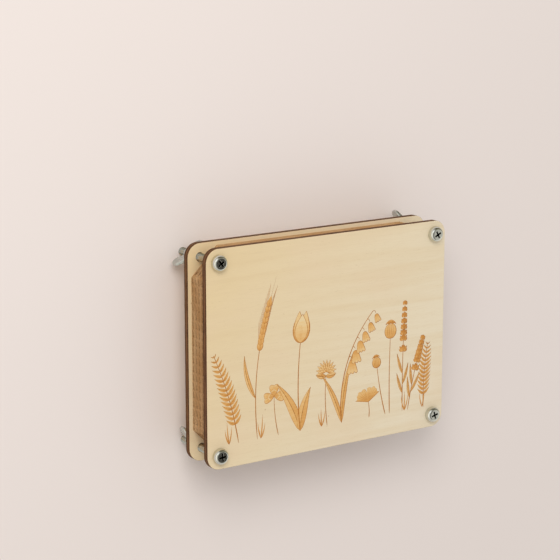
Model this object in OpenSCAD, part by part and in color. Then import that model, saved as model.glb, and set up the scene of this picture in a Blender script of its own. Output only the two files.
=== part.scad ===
// Flower press: two plywood boards, a pack of corrugated cards and blotting papers
// between them, and four screws with wing nuts that draw the boards together.
// The press lies as it is used, decorated board up, on the free ends of its screws.
// The origin is on the table under the middle of the boards, X runs along the boards
// and Z up. All sizes are in millimetres.

/* [Boards] */
// Length of both boards, along X
board_l = 210; // [160:5:300]
// Width of both boards, along Y
board_w = 160; // [120:5:220]
// Thickness of the plywood
board_t = 5; // [3:0.5:7]
// Radius of the boards' corners
board_corner_r = 10; // [4:1:18]
// From a screw's axis to the two nearest edges of the boards
bolt_inset = 10; // [8:0.5:14]

/* [Screws] */
// Thread diameter of the screws
bolt_d = 6; // [4:0.5:7]
// Length of a screw under its head
bolt_l = 50; // [46:1:70]
// Chamfer at the free end of the thread
bolt_tip_chamfer = 0.9; // [0.4:0.1:1.4]
// Radial clearance of the screws in the boards' holes
bolt_hole_clearance = 0.3; // [0.1:0.05:0.6]

/* [Screw heads] */
// Diameter of the pan head
head_d = 12; // [10.5:0.5:14]
// Height of the pan head
head_h = 4.6; // [3.8:0.1:6]
// Height of the head's upright rim, under its dome
head_rim_h = 1.2; // [0.6:0.1:2]
// Diameter of the flat on top of the head
head_flat_d = 8.4; // [7.5:0.1:9.5]
// Span of the cross recess at the top of the head
recess_span = 6.9; // [5.4:0.1:7]
// Width of the recess's arms
recess_arm_w = 1.5; // [0.9:0.1:1.6]
// Depth of the recess
recess_depth = 3.2; // [2:0.1:3.6]
// Slope of the recess's arm ends from the screw's axis, in degrees
recess_slope = 26; // [20:1:30]

/* [Washers] */
// Outer diameter of the washers
washer_d = 12.5; // [11:0.5:16]
// Thickness of the washers
washer_t = 1.6; // [1:0.1:2.2]
// Radial clearance of the screws in the washers
washer_clearance = 0.2; // [0.1:0.05:0.4]

/* [Wing nuts] */
// Span over the two wings
nut_span = 28; // [24:1:34]
// Height from the nut's base to the wing tips
nut_h = 14; // [12:0.5:16]
// Diameter of the hub at its base
hub_d = 12; // [10.5:0.5:14]
// Diameter of the hub at its end
hub_end_d = 9.6; // [8.6:0.2:10.4]
// Height of the hub
hub_h = 8; // [6:0.5:9]
// Chamfer round the hub's base
hub_chamfer = 0.6; // [0.3:0.1:1]
// Radial clearance of the thread in the nut
thread_clearance = 0.05; // [0.02:0.01:0.1]
// Radius of the rounded wing tips
wing_tip_r = 4.4; // [3.5:0.1:5]
// Thickness of the wings at their tips
wing_tip_t = 2.2; // [1.6:0.1:3]
// Radius of the wings' roots
wing_root_r = 2.8; // [2:0.1:3.4]
// Thickness of the wings at their roots
wing_root_t = 4; // [3:0.1:5]

/* [Leaves] */
// Number of corrugated cards in the pack
card_count = 5; // [2:1:6]
// Thickness of a corrugated card
card_t = 3; // [2.4:0.1:3.4]
// Thickness of the card's two facing sheets
liner_t = 0.3; // [0.2:0.05:0.5]
// Thickness of the card's wavy middle sheet
medium_t = 0.3; // [0.2:0.05:0.4]
// Distance from one wave of the middle sheet to the next
flute_pitch = 6.5; // [5:0.5:9]
// Depth to which the waves sink into the facing sheets, where they are glued
glue_depth = 0.1; // [0.05:0.05:0.15]
// Thickness of a blotting paper
paper_t = 0.6; // [0.3:0.1:0.8]
// From the edges of the boards to the edges of the cards
card_inset = 3; // [1:0.5:6]
// Gap between a screw and the cut corner of a card
card_bolt_gap = 2; // [1:0.5:5]
// From the edges of the cards to the edges of the blotting papers
paper_inset = 1; // [0:0.5:3]

/* [Hidden] */
$fn = 64;
// Overrun of every cut past the faces that it opens
overrun = 1;
// Faces round each end of a wing
wing_fn = 32;
// Points on either side of the middle of a flute
flute_steps = 5;
// Steps in the curve of the head's dome
dome_steps = 6;

// Places of the screws, as shares of half their spacing in X and Y
corner_shares = [[-1, 1], [1, 1], [-1, -1], [1, -1]];
bolt_x = board_l / 2 - bolt_inset;
bolt_y = board_w / 2 - bolt_inset;
// How far each screw's recess is turned, and each nut's wings, in degrees
recess_turns = [35, 27, 5, 15];
nut_turns = [32, 118, 118, 32];

// The pack hangs from the screw heads downwards
board_hole_d = bolt_d + 2 * bolt_hole_clearance;
front_board_z = bolt_l - board_t;
pack_h = card_count * card_t + 2 * (card_count - 1) * paper_t;
back_board_z = front_board_z - pack_h - board_t;
washer_z = back_board_z - washer_t;
paper_count = 2 * (card_count - 1);

// The middle sheet waves between the facing sheets: it closes each flute where it
// meets the facing sheet, open_angle to either side of the flute's middle
core_h = card_t - 2 * liner_t;
wave_h = (core_h - medium_t) / 2 + glue_depth;
open_angle = acos(-(core_h - medium_t) / (2 * wave_h));
card_w = board_w - 2 * card_inset;
flute_count = round(card_w / flute_pitch);
flute_w = card_w / flute_count;

card_names = [for (i = [1 : card_count]) str("card_", i)];
paper_names = [for (i = [1 : paper_count]) str("blotting_paper_", i)];
bolt_names = [for (i = [1 : len(corner_shares)]) str("bolt_", i)];
washer_names = [for (i = [1 : len(corner_shares)]) str("washer_", i)];
nut_names = [for (i = [1 : len(corner_shares)]) str("wing_nut_", i)];

// Underside of card i, counted from the front board down
function card_z(i) = front_board_z - i * card_t - 2 * (i - 1) * paper_t;

// Underside of paper i: two of them lie under each card but the last
function paper_z(i) = card_z(ceil(i / 2)) - (2 - i % 2) * paper_t;

// Outline of a leaf: a rectangle with its corners cut off to pass the screws
function leaf_points(edge_gap, bolt_gap) =
    let (
        x = board_l / 2 - edge_gap,
        y = board_w / 2 - edge_gap,
        cut = 2 * (bolt_inset - edge_gap) + sqrt(2) * (bolt_d / 2 + bolt_gap)
    )
    [
        [x, y - cut], [x - cut, y], [cut - x, y], [-x, y - cut],
        [-x, cut - y], [cut - x, -y], [x - cut, -y], [x, cut - y]
    ];

// Cross-section of one flute: a curved trough under a flat facing sheet
function flute_points() = [
    for (k = [-flute_steps : flute_steps])
        let (angle = open_angle * k / flute_steps)
        [flute_w * angle / 360, medium_t / 2 - wave_h * cos(angle)]
];

// Half section of the pan head: an upright rim, a dome and a flat top
function head_points() = concat(
    [[0, 0], [head_d / 2, 0]],
    [
        for (k = [0 : dome_steps])
            let (angle = 90 * k / dome_steps)
            [
                head_flat_d / 2 + (head_d - head_flat_d) / 2 * cos(angle),
                head_rim_h + (head_h - head_rim_h) * sin(angle)
            ]
    ],
    [[0, head_h]]
);

module at_corner(i) {
    translate([corner_shares[i - 1].x * bolt_x, corner_shares[i - 1].y * bolt_y, 0])
        children();
}

// Plywood board with rounded corners and a hole for each screw
module board(z) {
    translate([0, 0, z])
        linear_extrude(height = board_t)
            difference() {
                board_outline();
                for (i = [1 : len(corner_shares)])
                    at_corner(i)
                        circle(d = board_hole_d);
            }
}

module board_outline() {
    square([board_l, board_w - 2 * board_corner_r], center = true);
    square([board_l - 2 * board_corner_r, board_w], center = true);
    for (share = corner_shares)
        translate([
            share.x * (board_l / 2 - board_corner_r),
            share.y * (board_w / 2 - board_corner_r)
        ])
            circle(r = board_corner_r);
}

module front_board() {
    color("#E2D0A4")
        board(front_board_z);
}

module back_board() {
    color("#D9C597")
        board(back_board_z);
}

// Screw with a pan head: its head rests on the front board, its end on the table
module bolt(i) {
    color("silver")
        at_corner(i)
            difference() {
                union() {
                    cylinder(d1 = bolt_d - 2 * bolt_tip_chamfer, d2 = bolt_d, h = bolt_tip_chamfer);
                    translate([0, 0, bolt_tip_chamfer])
                        cylinder(d = bolt_d, h = bolt_l - bolt_tip_chamfer);
                    translate([0, 0, bolt_l])
                        rotate_extrude()
                            polygon(head_points());
                }
                translate([0, 0, bolt_l + head_h])
                    rotate([0, 0, recess_turns[i - 1]])
                        cross_recess();
            }
}

// Cross recess for a screwdriver, under the level of the head's top
module cross_recess() {
    top_x = recess_span / 2;
    end_x = top_x - recess_depth * tan(recess_slope);
    for (turn = [0, 90])
        rotate([90, 0, turn])
            linear_extrude(height = recess_arm_w, center = true)
                polygon([
                    [-top_x, overrun],
                    [top_x, overrun],
                    [top_x, 0],
                    [end_x, -recess_depth],
                    [-end_x, -recess_depth],
                    [-top_x, 0]
                ]);
}

module washer(i) {
    color("gainsboro")
        at_corner(i)
            translate([0, 0, washer_z])
                difference() {
                    cylinder(d = washer_d, h = washer_t);
                    translate([0, 0, -overrun])
                        cylinder(d = bolt_d + 2 * washer_clearance, h = washer_t + 2 * overrun);
                }
}

// Cast wing nut, its base against the washer and its wings towards the table
module wing_nut(i) {
    color("silver")
        at_corner(i)
            translate([0, 0, washer_z])
                rotate([180, 0, nut_turns[i - 1]])
                    difference() {
                        union() {
                            nut_hub();
                            for (side = [-1, 1])
                                nut_wing(side);
                        }
                        translate([0, 0, -overrun])
                            cylinder(d = bolt_d + 2 * thread_clearance, h = nut_h + 2 * overrun);
                    }
}

module nut_hub() {
    rotate_extrude()
        polygon([
            [0, 0],
            [hub_d / 2 - hub_chamfer, 0],
            [hub_d / 2, hub_chamfer],
            [hub_end_d / 2, hub_h],
            [0, hub_h]
        ]);
}

module nut_wing(side) {
    hull() {
        translate([side * (hub_end_d / 2 - wing_root_r / 2), 0, wing_root_r])
            wing_end(wing_root_r, wing_root_t);
        translate([side * (nut_span / 2 - wing_tip_r), 0, nut_h - wing_tip_r])
            wing_end(wing_tip_r, wing_tip_t);
    }
}

module wing_end(r, t) {
    rotate([90, 0, 0])
        cylinder(r = r, h = t, center = true, $fn = wing_fn);
}

// Corrugated card: two facing sheets with flutes along X, open at both ends
module card(i) {
    color("#BE9361")
        translate([0, 0, card_z(i)])
            difference() {
                linear_extrude(height = card_t)
                    polygon(leaf_points(card_inset, card_bolt_gap));
                for (k = [0 : flute_count])
                    flute(k * flute_w - card_w / 2, 0);
                for (k = [1 : flute_count])
                    flute((k - 1 / 2) * flute_w - card_w / 2, 180);
            }
}

// One flute at y, its trough down, or up where it is turned over
module flute(y, turned) {
    translate([0, y, card_t / 2])
        rotate([turned, 0, 0])
            rotate([90, 0, 90])
                linear_extrude(height = board_l + 2 * overrun, center = true)
                    polygon(flute_points());
}

module blotting_paper(i) {
    color("ivory")
        translate([0, 0, paper_z(i)])
            linear_extrude(height = paper_t)
                polygon(leaf_points(card_inset + paper_inset, card_bolt_gap + paper_inset));
}

front_board();
back_board();
for (i = [1 : len(bolt_names)])
    bolt(i);
for (i = [1 : len(washer_names)])
    washer(i);
for (i = [1 : len(nut_names)])
    wing_nut(i);
for (i = [1 : card_count])
    card(i);
for (i = [1 : paper_count])
    blotting_paper(i);
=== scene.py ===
# %% [markdown]
# # A flower press, piece by piece
#
# A flower press dries flowers flat. Two plywood boards squeeze a pack of corrugated
# cards and blotting papers, and four long screws with wing nuts draw the boards
# together. The press stands on the free ends of its screws, decorated board up.
#
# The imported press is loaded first. Its boxes say where every piece goes, so nothing
# here is placed by eye. All lengths below are written in millimetres and multiplied
# by `MM`, because Blender counts in metres.

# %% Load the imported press
import math

import bmesh
import bpy
from mathutils import Matrix, Vector
from mathutils.geometry import delaunay_2d_cdt


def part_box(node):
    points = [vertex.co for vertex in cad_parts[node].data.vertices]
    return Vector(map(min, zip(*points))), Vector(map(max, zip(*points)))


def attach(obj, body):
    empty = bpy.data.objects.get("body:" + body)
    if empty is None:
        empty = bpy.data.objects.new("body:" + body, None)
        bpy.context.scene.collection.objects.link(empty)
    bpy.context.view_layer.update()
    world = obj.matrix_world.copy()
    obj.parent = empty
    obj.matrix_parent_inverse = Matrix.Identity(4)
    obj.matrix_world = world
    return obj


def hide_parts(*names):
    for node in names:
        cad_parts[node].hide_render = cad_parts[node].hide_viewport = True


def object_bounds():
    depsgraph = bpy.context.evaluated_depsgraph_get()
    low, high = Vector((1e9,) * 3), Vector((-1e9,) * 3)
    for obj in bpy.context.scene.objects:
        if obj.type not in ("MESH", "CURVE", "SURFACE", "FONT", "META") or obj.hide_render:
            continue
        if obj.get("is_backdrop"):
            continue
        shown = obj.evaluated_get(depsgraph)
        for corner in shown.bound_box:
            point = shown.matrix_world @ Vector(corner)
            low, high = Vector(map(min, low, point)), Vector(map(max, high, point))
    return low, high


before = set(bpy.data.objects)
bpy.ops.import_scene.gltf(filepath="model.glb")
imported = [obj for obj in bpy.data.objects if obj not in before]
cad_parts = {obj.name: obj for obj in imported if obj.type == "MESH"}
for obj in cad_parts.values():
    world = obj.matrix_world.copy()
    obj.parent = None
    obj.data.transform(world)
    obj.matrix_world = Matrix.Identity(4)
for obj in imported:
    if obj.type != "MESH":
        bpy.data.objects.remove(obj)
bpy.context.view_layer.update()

MM = 0.001

# %% [markdown]
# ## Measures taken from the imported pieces
#
# The boards, the washers and the nuts are rebuilt here with finer detail, so their
# places are read from the boxes of the pieces that they stand for. A screw's axis is
# the middle of its washer.

# %% Read the places
board_low, board_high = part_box("front_board")
back_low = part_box("back_board")[0]
BOARD_L, BOARD_W = ((board_high - board_low) / MM).to_tuple(4)[:2]
BOARD_T = (board_high.z - board_low.z) / MM
FACE_Z = board_high.z / MM
NUT_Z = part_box("washer_1")[0].z / MM
HEAD_TOP_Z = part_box("bolt_1")[1].z / MM
AXES = []
for i in (1, 2, 3, 4):
    low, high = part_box(f"washer_{i}")
    AXES.append((round((low.x + high.x) / 2 / MM, 1), round((low.y + high.y) / 2 / MM, 1)))
print(f"boards {BOARD_L:.0f} x {BOARD_W:.0f} x {BOARD_T:.0f} mm, face at {FACE_Z:.1f} mm")
print("screws at", AXES)

# %% [markdown]
# ## Small helpers
#
# Edit-mode operators act on all that is selected, and a freshly added primitive is
# selected all over. So each piece starts with nothing selected, and faces or edges
# are picked by a test on their place or direction. Points within `WELD` millimetres
# of each other are merged, those within `SNAP` of a level cut count as on it, and
# heights within `LEVEL` count as equal. A face looks a way when the part of its normal
# that points there is above `FACING`.

# %% Selecting, applying and finishing
SNAP, WELD, LEVEL, FACING = 0.0001, 0.001, 0.01, 0.9


def start_clean():
    """Leaves edit mode and selects nothing."""
    if bpy.context.object and bpy.context.object.mode != "OBJECT":
        bpy.ops.object.mode_set(mode="OBJECT")
    bpy.ops.object.select_all(action="DESELECT")


def choose(piece):
    """Makes one piece the selected and active one."""
    start_clean()
    piece.select_set(True)
    bpy.context.view_layer.objects.active = piece


def open_edit(piece):
    """Opens a piece in edit mode with all of it selected."""
    choose(piece)
    bpy.ops.object.mode_set(mode="EDIT")
    bpy.ops.mesh.select_mode(type="VERT")
    bpy.ops.mesh.select_all(action="SELECT")


def close_edit():
    """Goes back to object mode and returns the piece."""
    bpy.ops.object.mode_set(mode="OBJECT")
    return bpy.context.object


def pick(kind, test):
    """In edit mode, selects only the verts, edges or faces that pass the test."""
    bpy.ops.mesh.select_mode(type={"verts": "VERT", "edges": "EDGE", "faces": "FACE"}[kind])
    bpy.ops.mesh.select_all(action="DESELECT")
    shape = bmesh.from_edit_mesh(bpy.context.object.data)
    found = [part for part in getattr(shape, kind) if test(part)]
    for part in found:
        part.select_set(True)
    shape.select_flush_mode()
    bmesh.update_edit_mesh(bpy.context.object.data)
    return len(found)


def extrude(x, y, z):
    """In edit mode, draws the selected part out by these millimetres."""
    bpy.ops.mesh.extrude_region_move(TRANSFORM_OT_translate={"value": (x * MM, y * MM, z * MM)})


def settle():
    """Writes the active object's place, turn and size into its mesh."""
    bpy.ops.object.transform_apply(location=True, rotation=True, scale=True)
    return bpy.context.object


def modify(piece, kind, **settings):
    """Adds a modifier with its settings and applies it."""
    choose(piece)
    modifier = piece.modifiers.new(kind.title(), kind)
    for name, value in settings.items():
        setattr(modifier, name, value)
    bpy.ops.object.modifier_apply(modifier=modifier.name)


def cut(piece, tool, operation="DIFFERENCE"):
    """Cuts a piece with a tool, joins the two or keeps what they share, and throws the tool away."""
    modify(piece, "BOOLEAN", operation=operation, solver="EXACT", object=tool)
    bpy.data.objects.remove(tool)


def trim_level(piece, height, clear):
    """Cuts a piece level at a height, closes the cut and clears what is below or above it."""
    open_edit(piece)
    bpy.ops.mesh.bisect(
        plane_co=(0, 0, height * MM), plane_no=(0, 0, 1), use_fill=True, threshold=SNAP * MM,
        clear_inner=clear == "below", clear_outer=clear == "above",
    )
    close_edit()


def face_out(piece):
    """Merges doubled points and turns every face outwards."""
    open_edit(piece)
    bpy.ops.mesh.remove_doubles(threshold=WELD * MM)
    bpy.ops.mesh.normals_make_consistent(inside=False)
    return close_edit()


def finish_piece(piece, name, body, node, materials, angle=32):
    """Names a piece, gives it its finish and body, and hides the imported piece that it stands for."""
    choose(piece)
    settle()
    bpy.ops.object.shade_smooth_by_angle(angle=math.radians(angle))
    piece.name = piece.data.name = name
    piece.data.materials.clear()
    for material in materials:
        piece.data.materials.append(material)
    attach(piece, body)
    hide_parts(node)


def copy_piece(source, place, turn=Matrix.Identity(4)):
    """A copy with its own mesh, turned and moved into place."""
    piece = source.copy()
    piece.data = source.data.copy()
    bpy.context.scene.collection.objects.link(piece)
    piece.matrix_world = Matrix.Translation(Vector(place) * MM) @ turn
    return piece


print("helpers ready")

# %% [markdown]
# Turned parts, such as a screw head or a washer, start as half of their cross-section.
# A plane is merged to one point, that point is extruded from corner to corner of the
# section, and the line is spun round the Z axis. A polygon typed in by hand would do
# as well, but this is how it is drawn in the window.

# %% Drawing a half section and spinning it
def draw_section(points):
    """A line through (radius, height) points, drawn by extruding one point."""
    start_clean()
    bpy.ops.mesh.primitive_plane_add(size=MM)
    open_edit(bpy.context.object)
    bpy.ops.mesh.merge(type="CENTER")
    bpy.ops.transform.translate(value=(points[0][0] * MM, 0, points[0][1] * MM))
    for (r0, z0), (r1, z1) in zip(points, points[1:]):
        extrude(r1 - r0, 0, z1 - z0)
    return close_edit()


def spin_section(points, steps, closed=False):
    """A solid of revolution about Z from a half section; a closed section makes a ring."""
    open_edit(draw_section(points + points[:1] if closed else points))
    bpy.ops.mesh.spin(steps=steps, angle=math.tau, center=(0, 0, 0), axis=(0, 0, 1))
    return face_out(close_edit())


def arc(centre, radii, start, end, steps):
    """Points of part of an ellipse, from one angle in degrees to another."""
    angles = [math.radians(start + (end - start) * k / steps) for k in range(steps + 1)]
    return [(centre[0] + radii[0] * math.cos(a), centre[1] + radii[1] * math.sin(a)) for a in angles]


print("sections can be drawn and spun")

# %% [markdown]
# ## Finishes
#
# Every finish is a tree of shader nodes. One small function adds a node, sets its
# properties and fills or links its inputs, so each material below reads from top to
# bottom. Colours are written as sRGB hex values, the way a paint card gives them, and
# turned to the linear values that light needs.

# %% Colours and nodes
def linear(hex_colour):
    """An sRGB hex colour as linear red, green, blue and alpha."""
    parts = [int(hex_colour[i:i + 2], 16) / 255 for i in (1, 3, 5)]
    return tuple(c / 12.92 if c <= 0.04045 else ((c + 0.055) / 1.055) ** 2.4 for c in parts) + (1.0,)


def add_node(tree, kind, settings=None, inputs=None):
    """Adds a node with its properties and its inputs; an input may be a value or a socket."""
    node = tree.nodes.new("ShaderNode" + kind)
    for name, value in (settings or {}).items():
        setattr(node, name, value)
    for name, value in (inputs or {}).items():
        if isinstance(value, bpy.types.NodeSocket):
            tree.links.new(value, node.inputs[name])
        else:
            node.inputs[name].default_value = value
    return node


def new_finish(name, **constants):
    """A material with its Principled shader, whose plain values are set on the shader itself."""
    material = bpy.data.materials.new(name)
    material.use_nodes = True
    shader = material.node_tree.nodes["Principled BSDF"]
    for socket, value in constants.items():
        shader.inputs[socket.replace("_", " ")].default_value = value
    place = add_node(material.node_tree, "TexCoord").outputs["Object"]
    return material, material.node_tree, shader, place


def per_mm(x, y, z):
    """Scale of a pattern whose features are this many millimetres long in X, Y and Z."""
    return (1000 / x, 1000 / y, 1000 / z)


def fill_ramp(node, steps):
    """Gives a colour ramp its steps, each a share of its length and a colour."""
    ramp = node.color_ramp.elements
    while len(ramp) < len(steps):
        ramp.new(0.5)
    for element, (position, colour) in zip(ramp, steps):
        element.position, element.color = position, linear(colour)
    return node.outputs["Color"]


def dress(tree, shader, colour, relief, strength, depth_mm):
    """Gives a finish its colour, and from a pattern the fine relief of its surface."""
    bump = add_node(tree, "Bump", inputs={
        "Height": relief, "Strength": strength, "Distance": depth_mm * MM,
    })
    tree.links.new(colour, shader.inputs["Base Color"])
    tree.links.new(bump.outputs[0], shader.inputs["Normal"])


print("linear mid grey:", round(linear("#808080")[0], 3))

# %% [markdown]
# Most of the finishes here are one ground colour with stains on it: bands, clouds,
# fibres or pores. Each stain is a noise whose features have a real size in X, Y and Z.
# The stain starts to show where the noise passes one value and is full at another.

# %% Stains on a ground colour
def stain(tree, place, ground, layers):
    """Lays stains on a ground colour, and returns the colour with the noise of each stain."""
    noises = []
    for size_mm, detail, distortion, start, full, most, colour in layers:
        sized = add_node(tree, "Mapping", inputs={"Vector": place, "Scale": per_mm(*size_mm)})
        noise = add_node(tree, "TexNoise", inputs={
            "Vector": sized.outputs[0], "Scale": 1.0, "Detail": detail, "Distortion": distortion,
        })
        share = add_node(tree, "MapRange", inputs={
            "Value": noise.outputs["Fac"], "From Min": start, "From Max": full, "To Max": most,
        })
        mixed = add_node(tree, "Mix", {"data_type": "RGBA"}, {
            0: share.outputs[0], 6: ground, 7: linear(colour),
        })
        ground = mixed.outputs[2]
        noises.append(noise.outputs["Fac"])
    return ground, noises


print("stains ready")

# %% [markdown]
# ### Basswood plywood, sanded
#
# The boards are pale laser plywood with basswood faces. Basswood is a quiet wood: its
# colour is nearly even, with soft bands some millimetres wide along the grain, fine
# fibres, short pores and now and then a small brown fleck. The noise patterns are
# stretched along X, the grain's direction. The face is also painted a little darker and
# yellower towards one corner and paler towards the other: a painted light gradient,
# as where less and then more light falls. The fibres of the real wood are about 0.03 mm
# wide, too fine to show, so they are drawn ten times as coarse.

# %% Basswood face
LIT_END_TURN, LIT_END_HALF = math.radians(28), 120 * MM
WOOD_STAINS = (
    # size in mm, detail, distortion, start, full, strength, colour
    ((170, 7, 7), 4.0, 0.4, 0.42, 0.72, 0.34, "#DBC195"),
    ((60, 34, 34), 2.0, 0.0, 0.45, 0.7, 0.4, "#E5CDAC"),
    ((14, 0.35, 0.35), 3.0, 0.0, 0.5, 0.78, 0.3, "#D0B68E"),
    ((2.6, 0.3, 0.3), 1.0, 0.0, 0.7, 0.8, 0.45, "#B79565"),
)
basswood, tree, shader, place = new_finish(
    "basswood_plywood_sanded", Roughness=0.62, IOR=1.48, Specular_IOR_Level=0.35
)
# painted light: the ground colour runs from darker and yellower to paler along a line turned 28 degrees
# from X, paler towards +X and a little -Y
turned = add_node(tree, "Mapping", inputs={"Vector": place, "Rotation": (0, 0, LIT_END_TURN)})
along = add_node(tree, "SeparateXYZ", inputs={"Vector": turned.outputs[0]}).outputs["X"]
lit_end_share = add_node(tree, "MapRange", inputs={
    "Value": along, "From Min": -LIT_END_HALF, "From Max": LIT_END_HALF,
})
ground = add_node(tree, "Mix", {"data_type": "RGBA"}, {
    0: lit_end_share.outputs[0], 6: linear("#E3CB9F"), 7: linear("#E9DCC3"),
})
stained, (_, _, fibres, _) = stain(tree, place, ground.outputs[2], WOOD_STAINS)
sized = add_node(tree, "Mapping", inputs={"Vector": place, "Scale": per_mm(30, 22, 22)})
spots = add_node(tree, "TexVoronoi", inputs={
    "Vector": sized.outputs[0], "Scale": 1.0, "Randomness": 1.0,
})
flecks = add_node(tree, "MapRange", inputs={
    "Value": spots.outputs["Distance"], "From Min": 0.014, "From Max": 0.03, "To Min": 0.6, "To Max": 0.0,
})
flecked = add_node(tree, "Mix", {"data_type": "RGBA"}, {
    0: flecks.outputs[0], 6: stained, 7: linear("#A98252"),
})
dress(tree, shader, flecked.outputs[2], fibres, 0.25, 0.04)
print(basswood.name, len(tree.nodes), "nodes")

# %% [markdown]
# ### Wood burnt by a laser
#
# An engraving laser scans the face and burns a tenth or two of a millimetre of the
# wood away. A light burn leaves it tan, a strong one brown, and the burnt ground is
# dull and a little rough. How strong the burn is at each point is drawn with the
# plants below and stored on the mesh as the attribute `burn`, from 0 to 1, so this
# finish reads that attribute. The scan leaves faint lines about 0.25 mm apart.

# %% Engraved ground
TOAST = (
    (0.0, "#E6D0A4"), (0.2, "#E7C58E"), (0.45, "#E0AF6C"),
    (0.7, "#D0924B"), (0.88, "#B57435"), (1.0, "#8A5527"),
)
UNEVEN = 0.07
engraved, tree, shader, place = new_finish(
    "basswood_laser_engraved", Roughness=0.85, IOR=1.45, Specular_IOR_Level=0.2
)
burn_value = add_node(tree, "Attribute", {"attribute_name": "burn"}).outputs["Fac"]
sized = add_node(tree, "Mapping", inputs={"Vector": place, "Scale": per_mm(5, 1.2, 1.2)})
patches = add_node(tree, "TexNoise", inputs={
    "Vector": sized.outputs[0], "Scale": 1.0, "Detail": 3.0,
})
uneven = add_node(tree, "MapRange", inputs={
    "Value": patches.outputs["Fac"], "From Min": 0.3, "From Max": 0.7, "To Min": -UNEVEN, "To Max": UNEVEN,
})
strength = add_node(tree, "Math", {"operation": "ADD", "use_clamp": True}, {
    0: burn_value, 1: uneven.outputs[0],
})
toast = add_node(tree, "ValToRGB", inputs={"Fac": strength.outputs[0]})
sized = add_node(tree, "Mapping", inputs={"Vector": place, "Scale": per_mm(1.5, 0.25, 1)})
scan = add_node(tree, "TexNoise", inputs={"Vector": sized.outputs[0], "Scale": 1.0, "Detail": 1.0})
dress(tree, shader, fill_ramp(toast, TOAST), scan.outputs["Fac"], 0.4, 0.05)
print(engraved.name, len(tree.nodes), "nodes")

# %% [markdown]
# ### Laser-cut plywood edge
#
# The laser that cuts the board out chars its edge brown. The board has five plies: a
# thin veneer on each face, a core, and a crossband on each side of it. The grain of
# the crossbands runs the other way, so there the beam meets end grain and chars it
# darker, and the glue lines between the plies are nearly black. Here a colour ramp
# runs over each board's thickness. Both boards are 5 mm thick and the front one starts
# 24.8 mm above the back one, so the remainder of the height divided by 24.8 mm gives
# the depth in either board. The beam leaves fine upright lines, drawn 0.3 mm wide.

# %% Charred edge
PLIES = (
    (0.0, "#65432A"), (0.11, "#7B5534"), (0.125, "#3A2415"), (0.15, "#57381F"), (0.36, "#604026"),
    (0.38, "#382213"), (0.41, "#83593A"), (0.59, "#7D5635"), (0.62, "#382213"), (0.64, "#5C3C23"),
    (0.85, "#54361F"), (0.875, "#3A2415"), (0.89, "#7B5534"), (1.0, "#6E4B2E"),
)
CHAR_STAINS = (
    ((9, 9, 3), 4.0, 0.0, 0.42, 0.7, 0.65, "#392315"),
    ((0.3, 0.3, 7), 2.0, 0.0, 0.5, 0.75, 0.3, "#96714A"),
)
WAVER = 0.12 * MM
charred, tree, shader, place = new_finish(
    "plywood_edge_laser_charred", Roughness=0.8, IOR=1.45, Specular_IOR_Level=0.25
)
sized = add_node(tree, "Mapping", inputs={"Vector": place, "Scale": per_mm(24, 24, 24)})
wave = add_node(tree, "TexNoise", inputs={"Vector": sized.outputs[0], "Scale": 1.0, "Detail": 2.0})
waver = add_node(tree, "MapRange", inputs={
    "Value": wave.outputs["Fac"], "From Min": 0.3, "From Max": 0.7, "To Min": -WAVER, "To Max": WAVER,
})
height = add_node(tree, "SeparateXYZ", inputs={"Vector": place}).outputs["Z"]
above = add_node(tree, "Math", {"operation": "SUBTRACT"}, {0: height, 1: back_low.z})
depth = add_node(tree, "Math", {"operation": "MODULO"}, {
    0: above.outputs[0], 1: board_low.z - back_low.z,
})
waved = add_node(tree, "Math", {"operation": "ADD"}, {0: depth.outputs[0], 1: waver.outputs[0]})
share = add_node(tree, "MapRange", inputs={"Value": waved.outputs[0], "From Max": BOARD_T * MM})
plies = add_node(tree, "ValToRGB", inputs={"Fac": share.outputs[0]})
lined, (_, beam) = stain(tree, place, fill_ramp(plies, PLIES), CHAR_STAINS)
dress(tree, shader, lined, beam, 0.35, 0.06)
print(charred.name, len(tree.nodes), "nodes")

# %% [markdown]
# ### Zinc-plated steel
#
# The screws are cold-formed and the washers stamped, both of steel with a bright zinc
# plate. Zinc mirrors its surroundings softly, with a faint cool green-grey, and
# handling leaves slightly duller clouds some millimetres across. The wing nuts are
# cast, so the same plate lies on a pebbly skin and looks softer. Deep in the recess
# of a screw the metal is painted nearly black and dull: painted shade, for the shade
# that fills the narrow recess.

# %% Plated steel and plated casting
def plated(name, colour, cloud_colour, rough_from, rough_to, grain_mm, depth_mm, strength):
    """A bright plated metal whose gloss varies in clouds over a fine bumpy skin."""
    material, tree, shader, place = new_finish(name, Metallic=1.0)
    clouds = ((4, 4, 4), 4.0, 0.0, 0.35, 0.75, 0.5, cloud_colour)
    clouded, (cloud,) = stain(tree, place, linear(colour), (clouds,))
    gloss = add_node(tree, "MapRange", inputs={
        "Value": cloud, "From Min": 0.3, "From Max": 0.7, "To Min": rough_from, "To Max": rough_to,
    })
    sized = add_node(tree, "Mapping", inputs={
        "Vector": place, "Scale": per_mm(grain_mm, grain_mm, grain_mm),
    })
    skin = add_node(tree, "TexNoise", inputs={
        "Vector": sized.outputs[0], "Scale": 1.0, "Detail": 2.0,
    })
    tree.links.new(gloss.outputs[0], shader.inputs["Roughness"])
    dress(tree, shader, clouded, skin.outputs["Fac"], strength, depth_mm)
    return material


zinc_steel = plated("steel_cold_formed_zinc_plated", "#DADBD4", "#BEC1B6", 0.08, 0.15, 0.7, 0.01, 0.12)
zinc_washer = plated("steel_stamped_zinc_plated", "#CDD0C9", "#B4B7AB", 0.16, 0.28, 0.5, 0.015, 0.2)
zinc_cast = plated("zinc_alloy_cast_plated", "#CBCDC7", "#ADB0A8", 0.2, 0.34, 0.9, 0.05, 0.3)
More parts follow.
